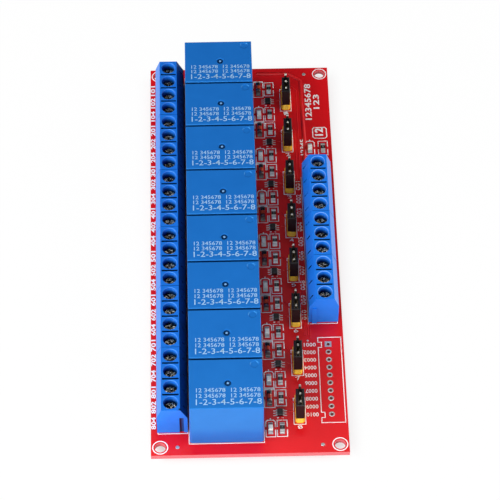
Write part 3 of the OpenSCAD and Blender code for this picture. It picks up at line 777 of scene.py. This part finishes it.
# %% Ink finish
ink = Finish("white_print")
cover = ink.noise(0.3 * mm, 3)
ink.set(
    Base_Color=ink.blend(cover, (0.93, 0.85, 0.86), (0.92, 0.92, 0.94)),
    Roughness=cover * 0.1 + 0.45,
    Normal=ink.bump(cover, 0.2, 0.01 * mm),
)
piece("printed_lines", ink_lines, ink)
piece("printed_numbers", ink_text, ink, recalculate=False)

# %% [markdown]
# ## Print on the relays
# Each relay carries three rows of pale print towards its front edge. Here they hold only a plain
# count, small in the first two rows and large in the third. The same text helper makes them. Their
# ink is thinner than the board's, so the blue of the case tints it.

# %% Relay print
relay_ink = bmesh.new()
small_row, large_row = "12 345678  12 345678", "1-2-3-4-5-6-7-8"
for low, high in relays:
    spot = (low + high) / 2
    for text, back, size, length in (
        (small_row, -2.1, 1.8, 17.0),
        (small_row, -3.85, 1.8, 17.0),
        (large_row, -5.85, 2.6, 17.4),
    ):
        where = (spot.x + 0.4 * mm, spot.y + back * mm)
        words(relay_ink, text, where, size * mm, 0, length * mm, 0.01 * mm, high.z + 0.5 * paint)
pale = Finish("relay_print")
thin = pale.noise(0.25 * mm, 3)
pale.set(
    Base_Color=pale.blend(thin, (0.16, 0.36, 0.62), (0.42, 0.60, 0.80)),
    Roughness=thin * 0.1 + 0.4,
    Normal=pale.bump(thin, 0.2, 0.01 * mm),
)
piece("relay_numbers", relay_ink, pale, recalculate=False)

# %% [markdown]
# ## Marks on the chip resistors
# A chip resistor has three small figures printed across its black glaze. They are under a
# millimetre high and could be left out, but from close by a bare black chip looks unfinished.

# %% Resistor figures
chip_ink = bmesh.new()
for low, high in resistors:
    spot = (low + high) / 2
    words(chip_ink, "123", (spot.x, spot.y), 0.6 * mm, quarter, 0.85 * mm, 0, high.z + 0.3 * paint)
chip_print = Finish("chip_print")
chip_print.set(
    Base_Color=chip_print.blend(chip_print.noise(0.15 * mm), (0.24, 0.24, 0.24), (0.38, 0.38, 0.38)),
    Roughness=0.5,
)
piece("resistor_numbers", chip_ink, chip_print, recalculate=False)

# %% [markdown]
# ## Rings round the fixing holes
# A white ring is printed round each fixing hole, on both faces, where the screw head will sit. A
# circle of the line helper would be a ridge with a round back, and a boolean of two cylinders takes
# longer. So a flat profile is turned once round the hole, as on a lathe, and every edge stays where
# the profile has it. The same lathe makes the rivets and domes further on.


# %% Fixing rings
def turned(shape, profile, place, steps):
    """Spins a profile of (radius, height) points about an upright axis through `place`."""
    corners = [shape.verts.new((place.x + r, place.y, z)) for r, z in profile]
    edges = [shape.edges.new(pair) for pair in zip(corners, corners[1:])]
    bmesh.ops.spin(
        shape,
        geom=corners + edges,
        cent=(place.x, place.y, 0),
        axis=(0, 0, 1),
        angle=2 * math.pi,
        steps=steps,
        use_merge=True,
        use_duplicate=False,
    )


fixing = next(m for m in frame["record"]["mounts"] if m["name"] == "fixing_holes")
reach_x = fixing["dims"]["spacing_x_mm"] / 2 * mm
reach_y = fixing["dims"]["spacing_y_mm"] / 2 * mm
hole_r = fixing["dims"]["hole_r_mm"] * mm
rings = bmesh.new()
corners = [Vector((sx * reach_x, sy * reach_y, 0)) for sx in (-1, 1) for sy in (-1, 1)]
flat_band = [(0.34, -0.1), (0.38, 1), (0.6, 1), (0.64, -0.1)]
for spot in corners:
    for level, away in ((board_top, 1), (board_under, -1)):
        profile = [(hole_r + r * mm, level + away * h * paint) for r, h in flat_band]
        turned(rings, profile, spot, 48)
piece("fixing_rings", rings, ink)

# %% [markdown]
# ## Tinned rings of the bare header
# Each hole has a tinned ring on both faces, joined by the plating down the hole, like a rivet. So
# both rings and the bore are one profile, turned once. The first ring is square, which marks where
# the count starts: a square loop and a round loop are bridged into a flat pad with a hole in it.

# %% Plated holes
plating = bmesh.new()
ring_r, bore_r, first_r = 0.82 * mm, 0.46 * mm, 0.7 * mm
pad_half, pad_hole_r = 0.92 * mm, 0.6 * mm
slope, lift = 0.06 * mm, 0.045 * mm
for k, spot in enumerate(holes):
    outer = ring_r if k else first_r
    turned(
        plating,
        [
            (outer, board_top - paint),
            (outer - slope, board_top + lift),
            (bore_r + 0.05 * mm, board_top + lift),
            (bore_r, board_top),
            (bore_r, board_under),
            (bore_r + 0.05 * mm, board_under - lift),
            (ring_r - slope, board_under - lift),
            (ring_r, board_under + paint),
        ],
        spot,
        24,
    )
pad = bmesh.ops.create_circle(plating, segments=4, radius=pad_half * math.sqrt(2))["verts"]
bmesh.ops.rotate(plating, verts=pad, matrix=Matrix.Rotation(math.pi / 4, 3, "Z"))
around = list({edge for corner in pad for edge in corner.link_edges})
bmesh.ops.subdivide_edges(plating, edges=around, cuts=5)
bmesh.ops.create_circle(plating, segments=24, radius=pad_hole_r)
loops = [edge for edge in plating.edges if not edge.link_faces]
bridge = bmesh.ops.bridge_loops(plating, edges=loops)["faces"]
flat = list({corner for face in bridge for corner in face.verts})
bmesh.ops.translate(plating, verts=flat, vec=(*holes[0].xy, board_top + 0.8 * lift))
plated = metal("plating", (0.74, 0.71, 0.71), (0.44, 0.42, 0.43), 0.34, 0.5)
level = plated.axes()[2]
# painted shade: the plating down the bore is darkened
bore = (level < board_top - 0.005 * mm) * (level > board_under + 0.005 * mm)
plated.set(Base_Color=plated.blend(bore, plated.tint, (0.30, 0.06, 0.06)))
piece("header_rings", plating, plated)

# %% [markdown]
# ## Small tinned dots
# Two kinds of bare copper show as dots: the round marks by the corners, which the placing machine
# looks for, and a small plated hole that leads a track to the other face. A flat disc would catch
# the light all at once, so each is a low dome from the same lathe.

# %% Corner marks and small plated holes
dots = bmesh.new()
dome = [(0.0, 1.0), (0.6, 0.95), (0.9, 0.6), (1.0, -0.2)]
marked = [corner for corner in corners if corner.x > 0 or corner.y < 0]
marks = [Vector((c.x - math.copysign(4.65 * mm, c.x), c.y, 0)) for c in marked]
vias = [Vector((holes[0].x - 5.6 * mm, holes[0].y + 1.3 * mm, 0))]
for spots, radius in ((marks, 0.55 * mm), (vias, 0.3 * mm)):
    for spot in spots:
        turned(dots, [(r * radius, board_top + h * lift) for r, h in dome], spot, 20)
bmesh.ops.remove_doubles(dots, verts=dots.verts, dist=0.0005 * mm)
piece("tinned_dots", dots, solder)

# %% [markdown]
# ## Tracks under the lacquer
# Copper tracks stand a little proud, so the lacquer over them forms soft ridges of a lighter red.
# The board's finish could bump them up, but it would need every track's shape in its nodes, so each
# is a real ridge: a printed line again, only wider and in the lacquer's own finish.

# %% Tracks on the component side
tracks = bmesh.new()
ridge, track_end = 0.05 * mm, in_low.y - 4 * mm


def from_corner(*steps):
    """A path whose points are so many millimetres left of and in front of the back right corner."""
    return [(edge_x - left * mm, edge_y - front * mm) for left, front in steps]


wide = [(relays[0][1].x + 1.5 * mm, edge_y - 2.1 * mm), *from_corner((12.0, 2.1), (8.3, 5.0))]
wide += [(edge_x - 8.0 * mm, power_lamp.y + 3.0 * mm), (edge_x - 8.4 * mm, in_high.y + 1.5 * mm)]
lines(tracks, [wide], 1.27 * mm, rise=ridge)
narrow = [
    [*from_corner((11.2, 7.1), (9.7, 8.8)), (edge_x - 9.7 * mm, track_end)],
    [*from_corner((11.35, 23.2), (10.6, 24.6)), (edge_x - 10.7 * mm, track_end)],
]
for right, length in ((0.3, 4.9), (-0.9, 4.1)):
    track_x = in_low.x + right * mm
    narrow.append([(track_x, in_low.y), (track_x, in_low.y - length * mm)])
for low, high in headers:
    narrow.append([(low.x, low.y + 3.8 * mm), (low.x - 1.6 * mm, low.y + 3.8 * mm)])
    narrow.append([(low.x - 1.7 * mm, low.y + 8.9 * mm), (low.x + 0.2 * mm, low.y + 5.9 * mm)])
channel_lamps = [middle(part) for part in lamps if part[0].x < power_lamp.x - 5 * mm]
for chip, lamp in zip(map(middle, chips), channel_lamps):
    track_x = lamp.x + 3.2 * mm
    narrow.append([(track_x, lamp.y + 1.4 * mm), (track_x, chip.y - 1.2 * mm)])
lines(tracks, narrow, 0.35 * mm, rise=ridge)
track_red = lacquered(
    "track_lacquer", (0.66, 0.010, 0.014), (0.78, 0.016, 0.02), (0.6, 0.1, 0.1), (0.7, 0.2, 0.2)
)
piece("top_tracks", tracks, track_red)

# %% [markdown]
# ## The solder side
# Underneath, broad tracks carry the relays' contacts to the terminals, and thin ones feed the
# coils. They could be drawn by hand, but they run from each relay pin to the terminal pin it
# belongs to, so the places of the pins give them, and one loop lays out all eight channels.

# %% Tracks underneath
under = bmesh.new()
broad, fine = [], []
for k, (low, high) in enumerate(relays):
    spot = (low + high) / 2
    pins = sorted((p for p in relay_pins if low.y < p.y < high.y), key=lambda p: (p.x, p.y))
    ways = output_pins[3 * k : 3 * k + 3]
    contacts = sorted((p for p in pins if p.x < spot.x - 5 * mm), key=lambda p: -p.y)
    coil = [p for p in pins if p.x > spot.x + 4 * mm]
    for pin, end in zip(contacts, (ways[0], ways[2])):
        broad.append([pin.xy[:], (pin.x - 2.5 * mm, pin.y), (end.x + 2 * mm, end.y), end.xy[:]])
    common, end = max(coil, key=lambda p: p.x), ways[1]
    knee = end.x + 3 * mm
    broad.append([common.xy[:], (knee, common.y), (knee - 1 * mm, end.y), end.xy[:]])
    for pin in coil:
        if pin is not common:
            fine.append([pin.xy[:], (pin.x + 3 * mm, pin.y), (spot.x + 13 * mm, spot.y)])
for pin in input_pins:
    fine.append([pin.xy[:], (pin.x - 4 * mm, pin.y), (pin.x - 6 * mm, pin.y - 2 * mm)])
for routes, width in ((broad, 2.2 * mm), (fine, 0.5 * mm)):
    lines(under, routes, width, board_under, -0.03 * mm)
piece("under_tracks", under, track_red)

# %% [markdown]
# ## Rings under the joints
# Each solder joint stands on a tinned ring, which shows as a bright rim round the cone of solder.
# The ring is flat with a sloped outer edge, so three points of a profile and the lathe make it.

# %% Rings underneath
rims = bmesh.new()
ring_in = 0.9 * mm
leaded = relay_pins + output_pins + input_pins
for spots, ring_out in ((leaded, 1.35 * mm), (jumper_pins, 1.15 * mm)):
    flat_level = board_under - lift
    flat_ring = [(ring_in, flat_level), (ring_out - slope, flat_level), (ring_out, board_under + paint)]
    for spot in spots:
        turned(rims, flat_ring, spot, 20)
piece("solder_rings", rims, solder)

# %% [markdown]
# ## The floor
# The floor is plain and white. Stronger lamps could whiten it, but they would bleach the board too.
# So to the camera and to mirror-like surfaces it glows a little by itself, and the rest of it is a
# matt surface that takes the board's shadow. Close under the board it glows less, so the holes
# don't shine.

# %% Floor
slab = bmesh.new()
bmesh.ops.create_circle(slab, cap_ends=True, segments=64, radius=4)
bmesh.ops.translate(slab, verts=slab.verts, vec=(0, 0, cad_box[0][2] - 0.02 * mm))
floor_mesh = bpy.data.meshes.new("floor")
slab.to_mesh(floor_mesh)
slab.free()
floor = bpy.data.objects.new("floor", floor_mesh)
bpy.context.scene.collection.objects.link(floor)
paper = Finish("paper")
paper.set(Base_Color=(0.85, 0.85, 0.85), Roughness=0.9, Specular_IOR_Level=0.1)
kinds = ("Camera", "Glossy", "Transmission")
rays = [paper.add("ShaderNodeLightPath", output=f"Is {kind} Ray") for kind in kinds]
seen = rays[0] + rays[1] + rays[2]
clear = paper.add("ShaderNodeAmbientOcclusion", inputs={"Distance": 5 * mm}, output="AO")
glow = paper.add("ShaderNodeEmission", inputs={"Color": (1, 1, 1), "Strength": 1.0})
share = seen * (clear * 0.55 + 0.42)
mixed = paper.add("ShaderNodeMixShader", inputs={0: share, 1: Wire(paper.shader.outputs[0]), 2: glow})
paper.tree.links.new(mixed.socket, paper.tree.nodes["Material Output"].inputs["Surface"])
floor.data.materials.append(paper.material)
print("floor at", round(floor.data.vertices[0].co.z / mm, 2), "mm")

# %% [markdown]
# ## Light
# A board like this is shown between two large soft boxes. Sky light alone would be flat, and small
# lamps would leave white patches on the glossy cases, so two wide lamps stand low on the left and
# right and rake the bevels of the terminals. A weak one in front lifts the faces towards the
# camera, and a small one high behind reaches the screws at the bottom of their wells.


# %% Lamps
def softbox(name, bearing, rise, away, size, power):
    """A rectangular lamp that faces the middle of the board. Bearing 0 is in front, 90 is right."""
    light = bpy.data.lights.new(name, "AREA")
    light.shape = "RECTANGLE"
    light.size, light.size_y = size
    light.energy = power
    holder = bpy.data.objects.new(name, light)
    bpy.context.scene.collection.objects.link(holder)
    side, up = math.radians(bearing), math.radians(rise)
    spot = Vector((math.sin(side) * math.cos(up), -math.cos(side) * math.cos(up), math.sin(up))) * away
    holder.matrix_world = Matrix.Translation(spot) @ spot.to_track_quat("Z", "Y").to_matrix().to_4x4()
    print(name, power, "W")


softbox("right_lamp", 78, 21, 0.55, (1.3, 0.3), 4.1)
softbox("left_lamp", -64, 34, 0.55, (0.8, 0.32), 4.4)
softbox("front_lamp", -12, 22, 0.5, (0.3, 0.12), 1.15)
softbox("back_lamp", 165, 76, 0.5, (0.24, 0.1), 0.32)
world = bpy.data.worlds.new("sky")
bpy.context.scene.world = world
world.use_nodes = True
backdrop = world.node_tree.nodes["Background"]
backdrop.inputs["Color"].default_value = (1, 1, 1, 1)
backdrop.inputs["Strength"].default_value = 0.05
bpy.context.scene.view_settings.view_transform = "Standard"

# %% [markdown]
# ## The size of the solids
# Print and rings may stand a hair proud of the board, but the whole has to keep the size of the
# solids. It could be measured by eye in a view; here the box of the solids is printed in numbers.

# %% Size of the solids
print("the solids measure", [round((b - a) / mm, 2) for a, b in zip(*cad_box)], "mm")
